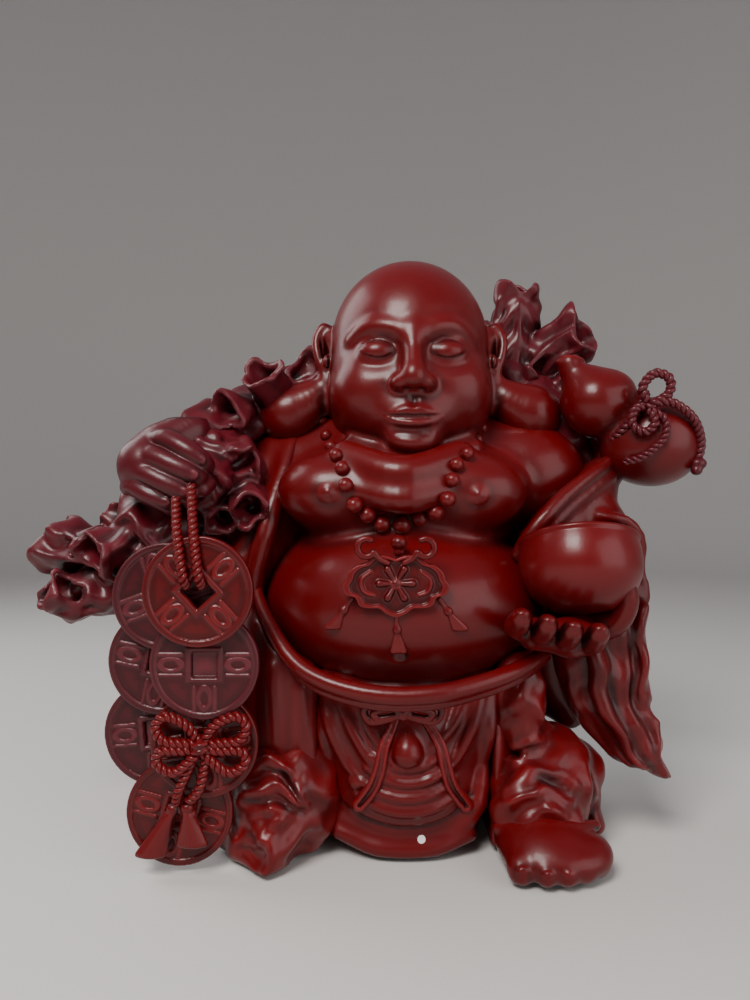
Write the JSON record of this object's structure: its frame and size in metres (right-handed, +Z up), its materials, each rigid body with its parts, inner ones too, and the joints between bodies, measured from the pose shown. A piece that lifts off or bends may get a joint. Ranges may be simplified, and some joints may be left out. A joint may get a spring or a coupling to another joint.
{
  "type": "seated monk figurine",
  "caption": "Seated pot-bellied monk in dark red cast resin, with an alms bowl, a sack over the shoulders, a gourd, strung square-holed coins and a belly plaque.",
  "frame": {"origin": "centre of the bounding box's bottom face, on the surface the figurine stands on", "axes": "+Z up, the figure faces -Y, so its own right hand is at -X; +X is the longest extent"},
  "size_m": [0.29, 0.15, 0.25],
  "materials": {
    "red_resin": "gloss",
    "felt": "matte"
  },
  "bodies": {
    "root": {"alms_bowl": "red_resin", "base_plug": "red_resin", "coin_back_low": "red_resin", "coin_back_middle": "red_resin", "coin_back_top": "red_resin", "coin_bottom": "red_resin", "coin_bow": "red_resin", "coin_cord": "red_resin", "coin_middle": "red_resin", "coin_tassels": "red_resin", "coin_top": "red_resin", "cord_bow": "red_resin", "felt_pads": "felt", "gourd": "red_resin", "gourd_cord": "red_resin", "head": "red_resin", "left_arm": "red_resin", "left_foot": "red_resin", "left_hand": "red_resin", "left_leg": "red_resin", "left_robe_edge": "red_resin", "left_robe_panel": "red_resin", "left_sleeve": "red_resin", "necklace_beads": "red_resin", "pendant_bead": "red_resin", "plaque": "red_resin", "plaque_scrolls": "red_resin", "plaque_tassels": "red_resin", "right_arm": "red_resin", "right_foot": "red_resin", "right_hand": "red_resin", "right_leg": "red_resin", "right_robe_panel": "red_resin", "robe_back": "red_resin", "sack_body": "red_resin", "sack_folds": "red_resin", "sack_mouth": "red_resin", "sack_roll": "red_resin", "sack_tail": "red_resin", "seat": "red_resin", "skirt_front": "red_resin", "torso": "red_resin", "waist_bow": "red_resin", "waist_ribbons": "red_resin", "waistband": "red_resin"}
  },
  "joints": []
}
